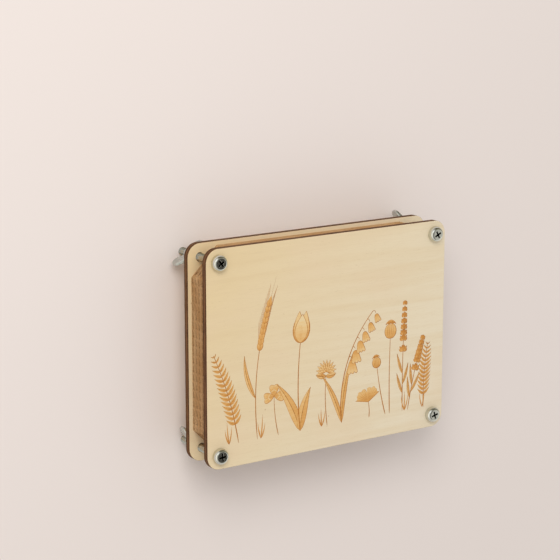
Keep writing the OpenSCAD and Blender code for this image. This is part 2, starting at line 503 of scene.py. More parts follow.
# painted shade: a near-black, dull metal for the faces deep in a screw's recess
zinc_recess_painted_shade = plated("steel_recess_painted_shade", "#3B3C38", "#22231F", 0.4, 0.55, 0.5, 0.02, 0.3)
print(zinc_steel.name, zinc_washer.name, zinc_cast.name, zinc_recess_painted_shade.name)

# %% [markdown]
# ### Corrugated kraft board and blotting paper
#
# Kraft liner is unbleached long-fibre paper: brown, with paler clouds and short
# darker fibres. Blotting paper is soft, thick and unsized, nearly white with a warm
# cast, and looks like very fine felt.

# %% Papers
def paper(name, roughness, gloss, colour, stains, strength, depth_mm):
    """A paper with its colour, its stains and the relief of the fibres that stain it last."""
    material, tree, shader, place = new_finish(
        name, Roughness=roughness, IOR=1.47, Specular_IOR_Level=gloss
    )
    stained, noises = stain(tree, place, linear(colour), stains)
    dress(tree, shader, stained, noises[-1], strength, depth_mm)
    return material


KRAFT_STAINS = (
    ((22, 22, 6), 2.0, 0.0, 0.35, 0.65, 1.0, "#C9A478"),
    ((1.6, 0.45, 0.45), 4.0, 0.8, 0.5, 0.72, 0.55, "#9E7850"),
)
FELT_STAINS = (((0.9, 0.6, 0.4), 4.0, 0.5, 0.35, 0.7, 1.0, "#E8E0D0"),)
kraft = paper("kraft_corrugated_board", 0.88, 0.2, "#BC9263", KRAFT_STAINS, 0.3, 0.05)
blotting = paper("blotting_paper_unsized", 0.95, 0.1, "#F5F0E6", FELT_STAINS, 0.4, 0.08)
print(kraft.name, blotting.name)

# %% [markdown]
# ## The screws
#
# Each screw is a 6 mm machine screw, 50 mm long under a pan head with a flat top and
# a cross recess. Its thread has a pitch of 1 mm. One pitch of the thread's edge is
# drawn as a line, and the Screw modifier turns and lifts it once for each turn of the
# thread. The turns are separate bands at first, so they are merged before the ends
# are cut square. Blender's cut moves points that lie near its plane onto it, by default
# within 0.1 mm, which would tear so fine a thread, so `trim_level` sets it finer.
# Last, the shank is trimmed to a blank with a chamfered end, as the wire has before
# its thread is rolled.

# %% Thread and shank
PITCH, THREAD_R, ROOT_R, BLANK_R = 1.0, 3.0, 2.42, 3.2
SHANK_TOP = FACE_Z + 0.3
RIDGE = (
    (ROOT_R, 0.0), (ROOT_R, 0.14), (THREAD_R, 0.44), (THREAD_R, 0.56), (ROOT_R, 0.86), (ROOT_R, 1.0),
)
# pairs of radius and height: the blank's half section
BLANK = [(0, -0.2), (1.9, -0.2), (BLANK_R, 1.1), (BLANK_R, SHANK_TOP), (0, SHANK_TOP)]
TURNS_BELOW, SPARE_TURNS, THREAD_STEPS = 2.3, 4, 28
screw = draw_section([(radius, (share - TURNS_BELOW) * PITCH) for radius, share in RIDGE])
modify(
    screw, "SCREW", axis="Z", angle=math.tau, screw_offset=PITCH * MM,
    iterations=int(FACE_Z / PITCH) + SPARE_TURNS, steps=THREAD_STEPS, render_steps=THREAD_STEPS,
    use_merge_vertices=True, merge_threshold=2 * WELD * MM, use_smooth_shade=False,
)
face_out(screw)
trim_level(screw, 0, "below")
trim_level(screw, SHANK_TOP + 0.1, "above")
face_out(screw)
cut(screw, spin_section(BLANK, steps=48), "INTERSECT")
print(f"shank with {FACE_Z / PITCH:.0f} turns of thread under its head, {len(screw.data.polygons)} faces")

# %% [markdown]
# The head is spun from its half section: a bearing face with a small rounded edge, a
# short upright rim, a dome that turns into a flat of 7.6 mm. Under a soft light the
# flat mirrors one patch of the room and the dome mirrors all of it, so the head reads
# as a dark or bright disc in a bright ring.

# %% Head
HEAD_R, FLAT_R, RIM_H, EDGE_R, CREASE = 6.0, 3.8, 1.2, 0.3, 0.05
head_h = HEAD_TOP_Z - FACE_Z
section = [(0, FACE_Z), (HEAD_R - EDGE_R, FACE_Z)]
section += arc((HEAD_R - EDGE_R, FACE_Z + EDGE_R), (EDGE_R, EDGE_R), -90, 0, 4)[1:]
section += arc((FLAT_R, FACE_Z + RIM_H), (HEAD_R - FLAT_R, head_h - RIM_H), 0, 90, 12)
section += [(FLAT_R - CREASE, HEAD_TOP_Z), (0, HEAD_TOP_Z)]
cut(screw, spin_section(section, steps=96), "UNION")
print(f"head {2 * HEAD_R:.0f} mm wide and {head_h:.1f} mm high")

# %% [markdown]
# The cross recess is punched by a tool with four tapered wings. The tool starts as a
# small cube whose four sides are drawn out into wings. Its lower end is then scaled
# down, so that the wings run in towards the screw's axis, and it ends in a short
# point. The mouth edges get a fine chamfer. One step of bevel is enough: with more,
# its faces would be shaded as one curve with the flat of the head and spoil its mirror.

# %% Cross recess
PUNCH_SPAN, PUNCH_W, PUNCH_H, POINT_H = 6.5, 1.5, 3.0, 0.5
FOOT_SHARE, POINT_SHARE, CHAMFER, SHARP, NEAR, MARGIN = 0.5, 0.15, 0.07, 0.5, 0.1, 0.2
punch_low, reach = (HEAD_TOP_Z - PUNCH_H) * MM, (PUNCH_SPAN - PUNCH_W) / 2


def side_of_core(face, x, y):
    """Whether a face is the side of the punch's core that looks towards x, y."""
    middle = face.calc_center_median()
    on_core = abs(middle.x * y + middle.y * x) < NEAR * PUNCH_W * MM
    return on_core and face.normal.x * x + face.normal.y * y > FACING


def mouth_edge(edge):
    """Whether an edge is a sharp one that the punch left in the flat of the head."""
    spots = [v.co / MM for v in edge.verts]
    in_flat = all(abs(p.z - HEAD_TOP_Z) < LEVEL and math.hypot(p.x, p.y) < FLAT_R - MARGIN for p in spots)
    return in_flat and edge.calc_face_angle(0) > SHARP


start_clean()
bpy.ops.mesh.primitive_cube_add(size=PUNCH_W * MM, location=(0, 0, HEAD_TOP_Z * MM))
open_edit(settle())
pick("faces", lambda f: f.normal.z < -FACING)
bpy.ops.transform.translate(value=(0, 0, (PUNCH_W / 2 - PUNCH_H) * MM))
for x, y in ((1, 0), (-1, 0), (0, 1), (0, -1)):
    pick("faces", lambda f: side_of_core(f, x, y))
    extrude(x * reach, y * reach, 0)
pick("verts", lambda v: v.co.z < punch_low + NEAR * MM)
bpy.ops.transform.resize(value=(FOOT_SHARE, FOOT_SHARE, 1), center_override=(0, 0, punch_low))
pick("faces", lambda f: f.normal.z < -FACING)
extrude(0, 0, -POINT_H)
bpy.ops.transform.resize(value=(POINT_SHARE, POINT_SHARE, 1), center_override=(0, 0, punch_low))
cut(screw, face_out(close_edit()))
open_edit(screw)
pick("edges", mouth_edge)
bpy.ops.mesh.bevel(offset=CHAMFER * MM, segments=1, affect="EDGES")
close_edit()
print(f"screw has {len(screw.data.polygons)} faces")

# %% [markdown]
# The finished screw is copied to the four corners. A screw stops wherever it is
# tight, so each recess points its own way.

# %% Four screws
RECESS_TURNS = (35, 27, 5, 15)
# faces deep inside the recess, near the axis, get the second finish, which is painted shade
RECESS_SHADE_R, RECESS_SHADE_START, RECESS_SHADE_END = 3.6, 0.34, 3.9
for i, ((x, y), turn) in enumerate(zip(AXES, RECESS_TURNS), 1):
    piece = copy_piece(screw, (x, y, 0), Matrix.Rotation(math.radians(turn), 4, "Z"))
    looks = [zinc_steel, zinc_recess_painted_shade]
    finish_piece(piece, f"pan_head_screw_{i}", "front", f"bolt_{i}", looks, angle=28)
    for face in piece.data.polygons:
        middle = face.center / MM
        in_recess_shade = HEAD_TOP_Z - RECESS_SHADE_END < middle.z < HEAD_TOP_Z - RECESS_SHADE_START
        face.material_index = 1 if in_recess_shade and math.hypot(middle.x - x, middle.y - y) < RECESS_SHADE_R else 0
bpy.data.objects.remove(screw)
print("4 screws placed")

# %% [markdown]
# ## The washers
#
# A washer spreads the nut's push over the soft plywood. It is stamped from sheet, so
# its lower rim is rounded, where the die drew the sheet in, and its upper rim nearly
# sharp. Its closed half section has those corners, and is spun into a ring.

# %% Four washers
WASHER_R, WASHER_HOLE_R, WASHER_T = 6.25, 3.2, 1.6
ROUNDED, BROKEN, HOLE_LOW, HOLE_TOP = 0.35, 0.06, 0.12, 0.2
top = NUT_Z + WASHER_T
section = [(WASHER_HOLE_R, NUT_Z + HOLE_LOW), (WASHER_HOLE_R + HOLE_LOW, NUT_Z)]
section += arc((WASHER_R - ROUNDED, NUT_Z + ROUNDED), (ROUNDED, ROUNDED), -90, 0, 4)
section += [(WASHER_R, top - BROKEN), (WASHER_R - BROKEN, top)]
section += [(WASHER_HOLE_R + HOLE_TOP, top), (WASHER_HOLE_R, top - HOLE_TOP)]
ring = spin_section(section, steps=72, closed=True)
for i, (x, y) in enumerate(AXES, 1):
    piece = copy_piece(ring, (x, y, 0))
    looks = [zinc_washer]
    finish_piece(piece, f"stamped_washer_{i}", "back", f"washer_{i}", looks, angle=30)
bpy.data.objects.remove(ring)
print(f"4 washers under the back board, top at {top:.1f} mm")

# %% [markdown]
# ## The wing nuts
#
# A wing nut is cast in one piece: a conical hub, and two thin wings that flare
# outwards, with a slightly hollow face inside a thicker rim. Cast metal has no sharp
# inner corners. A wing is the hull round two discs, one at its tip and one at its
# foot. The hub and the wings are plain shapes that run into each other, and a voxel
# remesh with some smoothing melts them into one skin with soft fillets. The base is
# then cut flat, and the bore is cut last, since a remesh would blunt it.

# %% One wing
NUT_SPAN, NUT_H, TIP_R, TIP_T = 28.0, 14.0, 4.4, 2.4
FOOT_R, FOOT_T, FOOT_X, FOOT_Z = 2.9, 4.0, 3.2, 3.4
HOLLOW_RIM, HOLLOW_DEPTH = 1.5, 0.42


def add_disc(corners, radius, thickness, x, z):
    """Adds a disc that stands on its rim, to the open mesh or else as a new piece."""
    bpy.ops.mesh.primitive_cylinder_add(
        vertices=corners, radius=radius * MM, depth=thickness * MM,
        location=(x * MM, 0, z * MM), rotation=(math.pi / 2, 0, 0),
    )


start_clean()
add_disc(40, TIP_R, TIP_T, NUT_SPAN / 2 - TIP_R, NUT_H - TIP_R)
open_edit(settle())
add_disc(24, FOOT_R, FOOT_T, FOOT_X, FOOT_Z)
bpy.ops.mesh.select_all(action="SELECT")
bpy.ops.mesh.convex_hull()
for side in (-1, 1):
    pick("faces", lambda f: f.normal.y * side > FACING)
    bpy.ops.mesh.inset(thickness=HOLLOW_RIM * MM, use_boundary=True)
    bpy.ops.transform.translate(value=(0, -side * HOLLOW_DEPTH * MM, 0))
right_wing = close_edit()
left_wing = copy_piece(right_wing, (0, 0, 0), Matrix.Rotation(math.pi, 4, "Z"))
print(f"wing faces: {len(right_wing.data.polygons)}")

# %% Hub, casting and bore
HUB_R, HUB_END_R, HUB_H, BORE_R, MOUTH_R = 6.0, 4.8, 8.0, 3.05, 3.75
VOXEL, MELT, MELT_TIMES = 0.36, 0.6, 11
# half sections of the casting and of its bore, as pairs of radius and height
HUB = [
    (0, -1.0), (HUB_R - 1.2, -1.0), (HUB_R, 0.7), (HUB_END_R + 0.1, HUB_H - 0.4),
    (HUB_END_R - 0.5, HUB_H), (0, HUB_H),
]
BORE = [
    (0, -1), (MOUTH_R, -1), (BORE_R, 0.5), (BORE_R, HUB_H - 0.7), (MOUTH_R + 0.05, HUB_H + 0.6),
    (0, HUB_H + 0.6),
]
nut = spin_section(HUB, steps=56)
choose(nut)
right_wing.select_set(True)
left_wing.select_set(True)
bpy.ops.object.join()
modify(nut, "REMESH", mode="VOXEL", voxel_size=VOXEL * MM)
modify(nut, "SMOOTH", factor=MELT, iterations=MELT_TIMES)
trim_level(nut, 0, "below")
cut(nut, spin_section(BORE, steps=48))
print(f"cast nut with {len(nut.data.polygons)} faces")

# %% [markdown]
# The nuts sit under the back board with their wings down. A half turn about X puts a
# nut upside down, and a turn about Z gives each the angle at which it happens to be
# tight. The two turns are written into the copied mesh.

# %% Four wing nuts
NUT_TURNS = (32, 118, 118, 32)
for i, ((x, y), turn) in enumerate(zip(AXES, NUT_TURNS), 1):
    turned = Matrix.Rotation(math.radians(turn), 4, "Z") @ Matrix.Rotation(math.pi, 4, "X")
    piece = copy_piece(nut, (x, y, NUT_Z), turned)
    looks = [zinc_cast]
    finish_piece(piece, f"cast_wing_nut_{i}", f"nut_{i}", f"wing_nut_{i}", looks, angle=40)
bpy.data.objects.remove(nut)
print("4 wing nuts placed")

# %% [markdown]
# ## The boards
#
# Both boards are 5 mm plywood, cut by laser with round corners and four holes. A
# plane gets its corners by a vertex bevel, is drawn up to its thickness, has its holes
# drilled by four cylinders, and its sharp rims are eased by a fine bevel, as by a
# touch of sandpaper. Faces that look up or down are sanded wood, and the rest is the
# charred cut.

# %% Cutting a board
CORNER_R, HOLE_R, VENEER, EASE = 10.0, 3.3, 0.6, 0.25
CORNER_STEPS, HOLE_STEPS, EASE_STEPS, LYING, HOLE_MARGIN, SQUARE = 16, 48, 3, 0.8, 0.5, 1.0


def near_hole(spot, margin):
    """Whether a spot in millimetres lies in one of the four holes or within a margin of it."""
    return any(math.hypot(spot.x - x, spot.y - y) < HOLE_R + margin for x, y in AXES)


def outer_rim(edge, heights):
    """Whether an edge is a sharp outer one that lies level at one of the heights."""
    a, b = (v.co for v in edge.verts)
    level = any(max(abs(a.z - z * MM), abs(b.z - z * MM)) < LEVEL * MM for z in heights)
    hole = near_hole((a + b) / 2 / MM, HOLE_MARGIN)
    return level and not hole and edge.calc_face_angle(0) > SQUARE


def plywood(name, body, node, low, thickness, rims):
    """A board with round corners and four holes, its low face at a height and its outer rims eased."""
    start_clean()
    bpy.ops.mesh.primitive_plane_add(size=MM, location=(0, 0, low * MM))
    bpy.context.object.scale = (BOARD_L, BOARD_W, 1)
    open_edit(settle())
    bpy.ops.mesh.bevel(offset=CORNER_R * MM, segments=CORNER_STEPS, affect="VERTICES")
    bpy.ops.mesh.select_all(action="SELECT")
    extrude(0, 0, thickness)
    board = face_out(close_edit())
    for x, y in AXES:
        start_clean()
        bpy.ops.mesh.primitive_cylinder_add(
            vertices=HOLE_STEPS, radius=HOLE_R * MM, depth=4 * thickness * MM,
            location=(x * MM, y * MM, low * MM),
        )
        cut(board, bpy.context.object)
    open_edit(board)
    count = pick("edges", lambda e: outer_rim(e, rims))
    bpy.ops.mesh.bevel(offset=EASE * MM, segments=EASE_STEPS, affect="EDGES")
    close_edit()
    finish_piece(board, name, body, node, [basswood, charred])
    for face in board.data.polygons:
        face.material_index = 0 if abs(face.normal.z) > LYING else 1
    print(f"{name}: {count} rim edges eased, {len(board.data.polygons)} faces")


low = back_low.z / MM
plywood("plywood_board_back", "back", "back_board", low, BOARD_T, (low, low + BOARD_T))

# %% [markdown]
# The front board is the same, but its top veneer, 0.6 mm thick, is a piece of its own,
# because the plants are engraved in it. The core ends where the veneer starts. A
# glue line of a few hundredths of a millimetre shows between them on the real edge.

# %% Core of the front board
low = FACE_Z - BOARD_T
plywood("plywood_core_front", "front", "front_board", low, BOARD_T - VENEER, (low,))

# %% [markdown]
# ## The engraved plants
#
# The face of the press is decorated with a row of meadow plants: ferns, barley,
# clover, a tulip, a bluebell, poppy pods, lavender and a ginkgo leaf. They are drawn
# the way a laser file is made. Each shape is an outline in millimetres with the
# strength of its burn, and a later shape covers what lies behind it. Only four things
# are needed: curves, lines that thin at their ends, pointed leaves, and a place on a
# stem.

# %% Strokes and blades
def bezier(a, b, c, d, steps):
    """Points of a cubic curve from a to d, pulled towards b and c."""
    found = []
    for i in range(steps + 1):
        t = i / steps
        u = 1 - t
        found.append(tuple(
            u**3 * a[k] + 3 * u * u * t * b[k] + 3 * u * t * t * c[k] + t**3 * d[k] for k in (0, 1)
        ))
    return found


def ribbon(points, half_width):
    """Outline of a line whose half width at each share of its length is half_width(share)."""
    left, right = [], []
    last = len(points) - 1
    for i, (x, y) in enumerate(points):
        a, b = points[max(i - 1, 0)], points[min(i + 1, last)]
        dx, dy = b[0] - a[0], b[1] - a[1]
        size = math.hypot(dx, dy) or 1
        nx, ny, w = -dy / size, dx / size, half_width(i / last)
        left.append((x + nx * w, y + ny * w))
        right.append((x - nx * w, y - ny * w))
    return right + left[::-1]


def at(points, share):
    """The place and the heading in degrees at a share of a line's points."""
    s = share * (len(points) - 1)
    i = min(int(s), len(points) - 2)
    a, b, t = points[i], points[i + 1], s - i
    place = (a[0] + (b[0] - a[0]) * t, a[1] + (b[1] - a[1]) * t)
    return place, math.degrees(math.atan2(b[1] - a[1], b[0] - a[0]))


def ahead(place, heading, distance):
    """The point at a distance from a place, in a direction in degrees."""
    a = math.radians(heading)
    return place[0] + distance * math.cos(a), place[1] + distance * math.sin(a)


def beside(place, heading, distance, aside):
    """The point at a distance ahead of a place, and from there this far to the left."""
    return ahead(ahead(place, heading, distance), heading + 90, aside)


def bow(base, heading, length, bend, pull, steps):
    """A line that starts in one direction and bends to its left by bend degrees."""
    tip = ahead(base, heading + bend / 2, length)
    return bezier(base, ahead(base, heading, pull), ahead(tip, heading + bend + 180, pull), tip, steps)


def blade(base, heading, length, width, bend, fullness, steps):
    """Middle line, right side and left side of a pointed leaf that grows from base."""
    middle, half = bow(base, heading, length, bend, length / 3, steps), width / 2
    edge = ribbon(middle, lambda t: max(0.02, half * math.sin(math.pi * min(t, 1) ** fullness) ** 0.9))
    return middle, edge[:steps + 1], edge[steps + 1:][::-1]


print("strokes ready")

# %% [markdown]
# The drawing is a list. Each entry has an outline, the strength of its burn at two
# ends, and the two places between which the strength changes from one to the other.
# Lengths and widths are in millimetres, directions and bends in degrees, and the
# strength or tone of a burn runs from 0, bare wood, to 1.

# %% The list, drawn lines and shaded leaves
drawing = []


def burn(outline, tones, way=None):
    """Adds an outline whose burn runs from the first tone to the second along a way."""
    way = way or outline
    drawing.append((outline, tones, way[0], way[-1]))


def line(points, width, tone, taper=0.35):
    """A drawn line that thins towards both ends."""
    half = width / 2
    burn(
        ribbon(points, lambda t: half * (taper + (1 - taper) * math.sin(math.pi * (0.12 + 0.8 * t)))),
        (tone, tone),
    )


def lines(group, *look):
    """Several drawn lines of one look."""
    for points in group:
        line(points, *look)


def burnt_blade(tones, *measures):
    """Burns a blade and returns its middle line, right side and left side."""
    middle, right, left = blade(*measures)
    burn(right + left[::-1], tones, middle)
    return middle, right, left


def leaf(base, heading, length, width, bend, tones, fullness=0.8):
    """A shaded leaf: two halves of different tone, an outline and a midrib."""
    middle, right, left = blade(base, heading, length, width, bend, fullness, 12)
    burn(right + middle[::-1], (tones[0], tones[1] + 0.12), middle)
    burn(middle + left[::-1], (tones[0] - 0.16, tones[1]), middle)
    lines((right, left), 0.34, 0.8)
    line(middle, 0.44, 0.92)


def stem(base, heading, length, bend, width, steps=18):
    """A stem that starts in one direction and bends to its left by bend degrees."""
    points = bow(base, heading, length, bend, length * 0.36, steps)
    burn(ribbon(points, lambda t: width / 2 * min(1, 0.3 + 9 * t) * (1 - 0.5 * t)), (0.85, 0.85))
    return points


print("leaves and stems ready")

# %% [markdown]
# Ferns and barley repeat one small shape along a curved stem, in pairs that shrink
# or bunch towards the tip.

# %% Fern and barley
def fern(base, heading, length, bend, pairs=15, reach=13):
    """A fern frond: leaflets in pairs that shorten towards its tip."""
    spine = stem(base, heading, length, bend, 0.9, 24)
    for i in range(pairs):
        share = 0.2 + 0.78 * i / (pairs - 1)
        place, way = at(spine, share)
        size = reach * (0.42 + 0.9 * share) * (1 - share) ** 0.62 + 1.5
        for side in (-1, 1):
            leaflet = (place, way + side * 62, size, size * 0.3, side * -24, 0.62, 9)
            line(burnt_blade((0.7, 0.36), *leaflet)[0], 0.3, 0.9)


def barley(base, heading, length, bend, grains):
    """A barley ear: grains in two rows, each with a long thin beard, and one leaf on the straw."""
    spine = stem(base, heading, length, bend, 0.8, 24)
    for i in range(grains):
        place, way = at(spine, 0.66 + 0.32 * i / (grains - 1))
        for side in (-1, 1):
            grain = (place, way + side * 24, 6.6 - 0.2 * i, 2.7, side * -14, 0.8, 8)
            middle, right, left = burnt_blade((0.66, 0.4), *grain)
            lines((right, left), 0.3, 0.85)
            tip, _ = at(middle, 1)
            steps = ((10, 5), (9, 9), (8, 15 - 0.4 * i))
            beard = bezier(tip, *[ahead(tip, way + side * turn, reach) for turn, reach in steps], 6)
            line(beard, 0.28, 0.7, 0.2)
    place, way = at(spine, 1)
    burnt_blade((0.66, 0.4), place, way, 6, 2.5, 0, 0.8, 8)
    line([ahead(place, way, 6), ahead(place, way, 20)], 0.28, 0.7, 0.2)
    place, way = at(spine, 0.3)
    leaf(place, way + 34, 34, 3.4, -34, (0.55, 0.3))


print("fern and barley ready")

# %% [markdown]
# Flowers are drawn from back to front. A front petal starts with a bare or pale
# shape, which hides what lies behind it, and then gets its edge and fine lines.

# %% Tulip, lavender and bluebell
def petal(base, heading, length, width, tones, fullness, veins, bend=0):
    """A petal that covers what lies behind it, with an outline and fine lines from its foot."""
    _, right, left = burnt_blade(tones, base, heading, length, width, bend, fullness, 14)
    lines((right, left), 0.42, 0.85, 0.6)
    for k in range(veins):
        off = (k - (veins - 1) / 2) * 9
        end = ahead(base, heading + off * 0.7 + bend * 0.2, length * (0.62 - abs(off) * 0.008))
        line([ahead(base, heading + off, length * 0.12), end], 0.26, 0.72, 0.2)


def tulip(base, heading, length, bend, size):
    """A tulip: an upright cup of petals and long curved leaves from the foot."""
    for side, reach in ((1, 0.66), (-1, 0.5)):
        leaf(base, heading + side * 9, length * reach, 7.5, side * 26, (0.62, 0.32), 0.7)
    place, way = at(stem(base, heading, length, bend, 1.1), 1)
    for side in (-1, 1):
        petal(place, way + side * 27, size * 0.86, size * 0.36, (0.7, 0.24), 0.75, 1, side * -34)
    for side in (-1, 1):
        petal(place, way + side * 15, size * 0.98, size * 0.4, (0.55, 0.14), 0.72, 2, side * -16)
    petal(place, way, size * 0.88, size * 0.46, (0.45, 0.0), 0.78, 3)


def lavender(base, heading, length, bend, rings=8):
    """A lavender spike: rings of small buds round the top of a stem, and small leaves below."""
    spine = stem(base, heading, length, bend, 0.8, 24)
    for i in range(rings):
        place, way = at(spine, 0.6 + 0.38 * i / (rings - 1) - (0.05 if i == 0 else 0))
        size = 5.2 - 0.34 * i
        for spread, share, tone in ((78, 0.8, 0.5), (46, 1.0, 0.5), (12, 1.0, 0.7)):
            for turn in (spread, -spread):
                bud = (ahead(place, way, 0.4), way + turn, size * share, 2.1, -turn * 0.3, 1.15, 8)
                line(burnt_blade((tone, 0.8), *bud)[1], 0.24, 0.95)
    for share, side in ((0.16, 1), (0.24, -1), (0.34, 1)):
        place, way = at(spine, share)
        leaf(place, way + side * 24, 17, 2.2, side * -12, (0.55, 0.34))


def bell(hook, heading, size):
    """A small bell flower that hangs from its hook, with three lobes on its rim."""
    wide, narrow = size * 0.44, size * 0.2
    foot, mouth = ahead(hook, heading, size * 0.12), ahead(hook, heading, size)
    left, right = (bezier(
        foot, beside(foot, heading, 0, k * narrow * 1.5),
        beside(hook, heading, size * 0.55, k * narrow * 1.6), beside(mouth, heading, 0, k * wide), 8,
    ) for k in (1, -1))
    rim = []
    for a, b in ((1.0, 0.34), (0.34, -0.34), (-0.34, -1.0)):
        p, q = beside(mouth, heading, 0, wide * a), beside(mouth, heading, 0, wide * b)
        low = ahead(beside(mouth, heading, 0, wide * (a + b) / 2), heading, size * 0.24)
        rim += bezier(p, ahead(p, heading, size * 0.12), low, q, 5)[1:]
    burn(left + rim + right[::-1][1:-1], (0.62, 0.2), (foot, ahead(mouth, heading, size * 0.2)))
    lines((left, right, [left[-1]] + rim), 0.36, 0.88, 0.6)
    for k in (-0.3, 0.3):
        end = beside(mouth, heading, -size * 0.05, wide * k)
        line([beside(hook, heading, size * 0.34, narrow * k), end], 0.24, 0.7, 0.3)


def bluebell(base, heading, length, bend, bells):
    """A bluebell: a stem that arches over to the right, with bells on its outer side."""
    for side, reach in ((1, 0.5), (-1, 0.62)):
        leaf(base, heading + side * 7, length * reach, 4.2, side * 22, (0.6, 0.34), 0.7)
    spine = stem(base, heading, length, bend, 1.0, 26)
    for i in range(bells):
        place, way = at(spine, 0.56 + 0.44 * i / (bells - 1))
        down = -76 + (i - bells / 2) * 3
        hook = ahead(ahead(place, way - 60, 2.4), -90, 1.4)
        stalk = bezier(place, ahead(place, way - 20, 1.6), ahead(hook, down + 180, 1.6), hook, 6)
        line(stalk, 0.42, 0.85, 0.8)
        bell(hook, down, 10.5 - 0.8 * i)


print("tulip, lavender and bluebell ready")

# %% Clover
def heart(foot, heading, size, tones):
    """One heart-shaped leaflet of a clover, with a pale band across it."""
    notch = ahead(foot, heading, size * 0.84)
    left, right = (bezier(
        foot, ahead(foot, heading + k * 52, size * 0.62),
        ahead(notch, heading + k * 66, size * 0.66), notch, 10,
    ) for k in (1, -1))
    burn(right + left[::-1][1:-1], tones, (foot, notch))
    band = [ahead(foot, heading + a, size * (0.5 - abs(a) * 0.003)) for a in range(-36, 37, 12)]
    burn(ribbon(band, lambda t: 0.32 * math.sin(math.pi * (0.05 + 0.9 * t)) + 0.08), (0.12, 0.12))
    lines((left, right), 0.34, 0.82, 0.6)
    line([foot, notch], 0.3, 0.85)
    for a in (-30, -15, 15, 30):
        vein = [ahead(foot, heading + a * 0.6, size * 0.26), ahead(foot, heading + a * 1.05, size * 0.76)]
        line(vein, 0.2, 0.74)


def clover(base, heading, length, bend, size):
    """A clover leaf of three hearts."""
    place, way = at(stem(base, heading, length, bend, 0.7), 1)
    for turn in (96, -96, 0):
        heart(place, way + turn, size, (0.62, 0.3))


def clover_flower(base, heading, length, bend, size):
    """A clover flower: a ball of narrow florets over two small leaves."""
    place, way = at(stem(base, heading, length, bend, 0.8), 1)
    for side in (-1, 1):
        leaf(place, way + side * 100, size * 0.62, 3.6, side * -30, (0.6, 0.36))
    for ring, (count, reach) in enumerate(((11, 1.0), (9, 0.78), (7, 0.54), (4, 0.3))):
        for i in range(count):
            turn = (-112 + 224 * (i + 0.5) / count) * (1 - ring * 0.08)
            floret = (ahead(place, way, size * 0.22), way + turn, size * 0.66 * reach, 1.9, 0, 1.2, 7)
            _, right, left = burnt_blade((0.62, 0.16), *floret)
            lines((right, left), 0.24, 0.85, 0.5)


print("clover ready")

# %% Poppy pod, ginkgo leaf and grass
def poppy_pod(base, heading, length, bend, size):
    """A ripe poppy pod: a ribbed urn under a scalloped cap."""
    place, way = at(stem(base, heading, length, bend, 0.9), 1)
    wide, top = size * 0.44, ahead(place, way, size)
    cap_top = ahead(top, way, size * 0.3)

    def rib(low, middle, high, steps):
        """A line from the pod's foot to its lip, this far to the left on its way."""
        belly = beside(place, way, size * 0.7, middle)
        return bezier(place, beside(place, way, 0, low), belly, beside(top, way, 0, high), steps)

    left, right = (rib(k * wide * 1.2, k * wide * 1.5, k * wide * 0.5, 12) for k in (1, -1))
    burn(right + left[::-1][:-1], (0.6, 0.34), (place, top))
    for k in (-0.6, -0.2, 0.2, 0.6):
        line(rib(wide * k, wide * 1.2 * k, wide * 0.5 * k, 8), 0.28, 0.82)
    lines((left, right), 0.42, 0.9, 0.7)
    lip, shoulder = [beside(top, way, 0, k * wide) for k in (1, -1)], size * 0.16
    cap = [beside(top, way, -size * 0.04, wide * 0.95)]
    cap += bezier(
        lip[0], beside(top, way, shoulder, wide * 0.8), beside(cap_top, way, 0, wide * 0.4), cap_top, 6,
    )
    cap += bezier(
        cap_top, beside(cap_top, way, 0, -wide * 0.4), beside(top, way, shoulder, -wide * 0.8), lip[1], 6,
    )[1:]
    cap += [beside(top, way, -size * 0.04, -wide * 0.95)]
    for k in range(1, 6):
        scallop = -size * (0.04 if k % 2 == 0 else -0.05)
        cap.append(beside(top, way, scallop, -wide * 0.95 + wide * 1.9 * k / 6))
    burn(cap[::-1], (0.85, 0.5), (top, cap_top))
    for k in (-0.5, 0, 0.5):
        line([beside(top, way, 0, wide * k), beside(top, way, size * 0.22, wide * k * 0.5)], 0.26, 1.0)


def ginkgo(base, heading, length, bend, size):
    """A ginkgo leaf: a fan with a wavy edge, a notch and lines that spread from its foot."""
    foot, way = at(stem(base, heading, length, bend, 0.8), 1)
    edge = []
    for i in range(-13, 14):
        a = i * 5.2
        notch = {-1: 0.9, 0: 0.62, 1: 0.9}.get(i, 1)
        wavy = size * (0.9 + 0.05 * math.cos(a * 0.16) + 0.035 * math.cos(i * 1.9))
        edge.append(ahead(foot, way + a, wavy * notch))
    burn([foot] + edge, (0.66, 0.26), (foot, ahead(foot, way, size * 0.9)))
    for a in [i * 10.6 for i in range(-6, 7) if i]:
        steps = ((0.8, 0.18), (1, 0.5), (1, 0.84))
        line([ahead(foot, way + a * turn, size * reach) for turn, reach in steps], 0.24, 0.8)
    line([foot] + edge[:13], 0.4, 0.85, 0.7)
    line([foot] + edge[14:][::-1], 0.4, 0.85, 0.7)
    line(edge[12:15], 0.36, 0.85, 0.8)


def tuft(x, y, blades):
    """A tuft of grass at a plant's foot."""
    for turn, length in blades:
        burnt_blade((0.8, 0.5), (x, y), 90 + turn, length, 1.0, -turn * 0.9, 0.6, 8)


print("pods, fan leaf and grass ready")

# %% [markdown]
# The plants stand on one line near the lower edge and reach different heights, as
# in a meadow. A plant that stands in front is drawn later.

